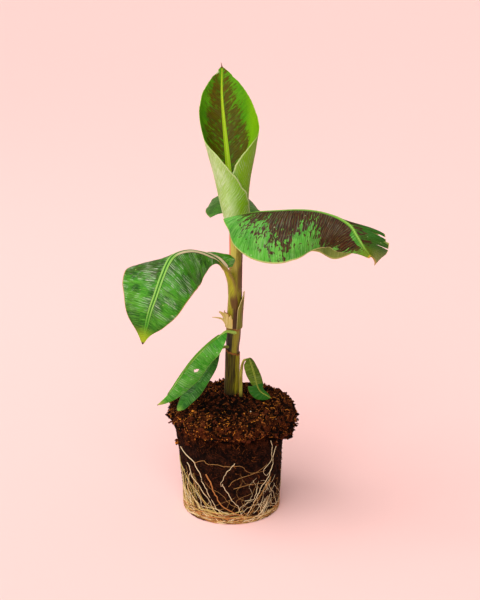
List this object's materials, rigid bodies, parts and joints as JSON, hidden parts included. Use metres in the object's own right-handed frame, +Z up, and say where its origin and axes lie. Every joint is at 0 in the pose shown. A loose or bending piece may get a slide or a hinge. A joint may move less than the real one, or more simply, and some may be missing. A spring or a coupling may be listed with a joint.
{
  "type": "banana plant",
  "caption": "Young banana plant on its bare root ball: a short pseudostem with an unfurling spindle leaf, broad arching leaves and small lower leaves.",
  "frame": {"origin": "middle of the root ball's flat underside", "axes": "+Z up along the pseudostem, +X to the right of the spindle leaf's open side, -Y out of its open side"},
  "size_m": [0.255, 0.2614, 0.4591],
  "materials": {
    "compost": "crumbly matte fibre",
    "roots": "matte",
    "stem": "satin streaked",
    "dry_leaf": "dry papery",
    "petiole": "satin",
    "leaf": "satin, waxy"
  },
  "bodies": {
    "root": {"root_ball": "compost", "root_net": "roots", "pseudostem": "stem", "outer_sheath": "stem", "cut_petiole": "stem", "dry_stub": "dry_leaf", "spindle_leaf": "leaf", "right_leaf_petiole": "petiole", "right_leaf_blade": "leaf", "left_leaf_petiole": "petiole", "left_leaf_arch": "leaf", "left_leaf_fall": "leaf", "back_leaf_petiole": "petiole", "back_leaf_blade": "leaf", "lower_leaf_petiole": "petiole", "lower_leaf_blade": "leaf", "under_leaf_petiole": "petiole", "under_leaf_blade": "leaf", "small_leaf_stalk": "petiole", "small_leaf_blade": "leaf", "small_leaf_tip": "leaf"}
  },
  "joints": []
}
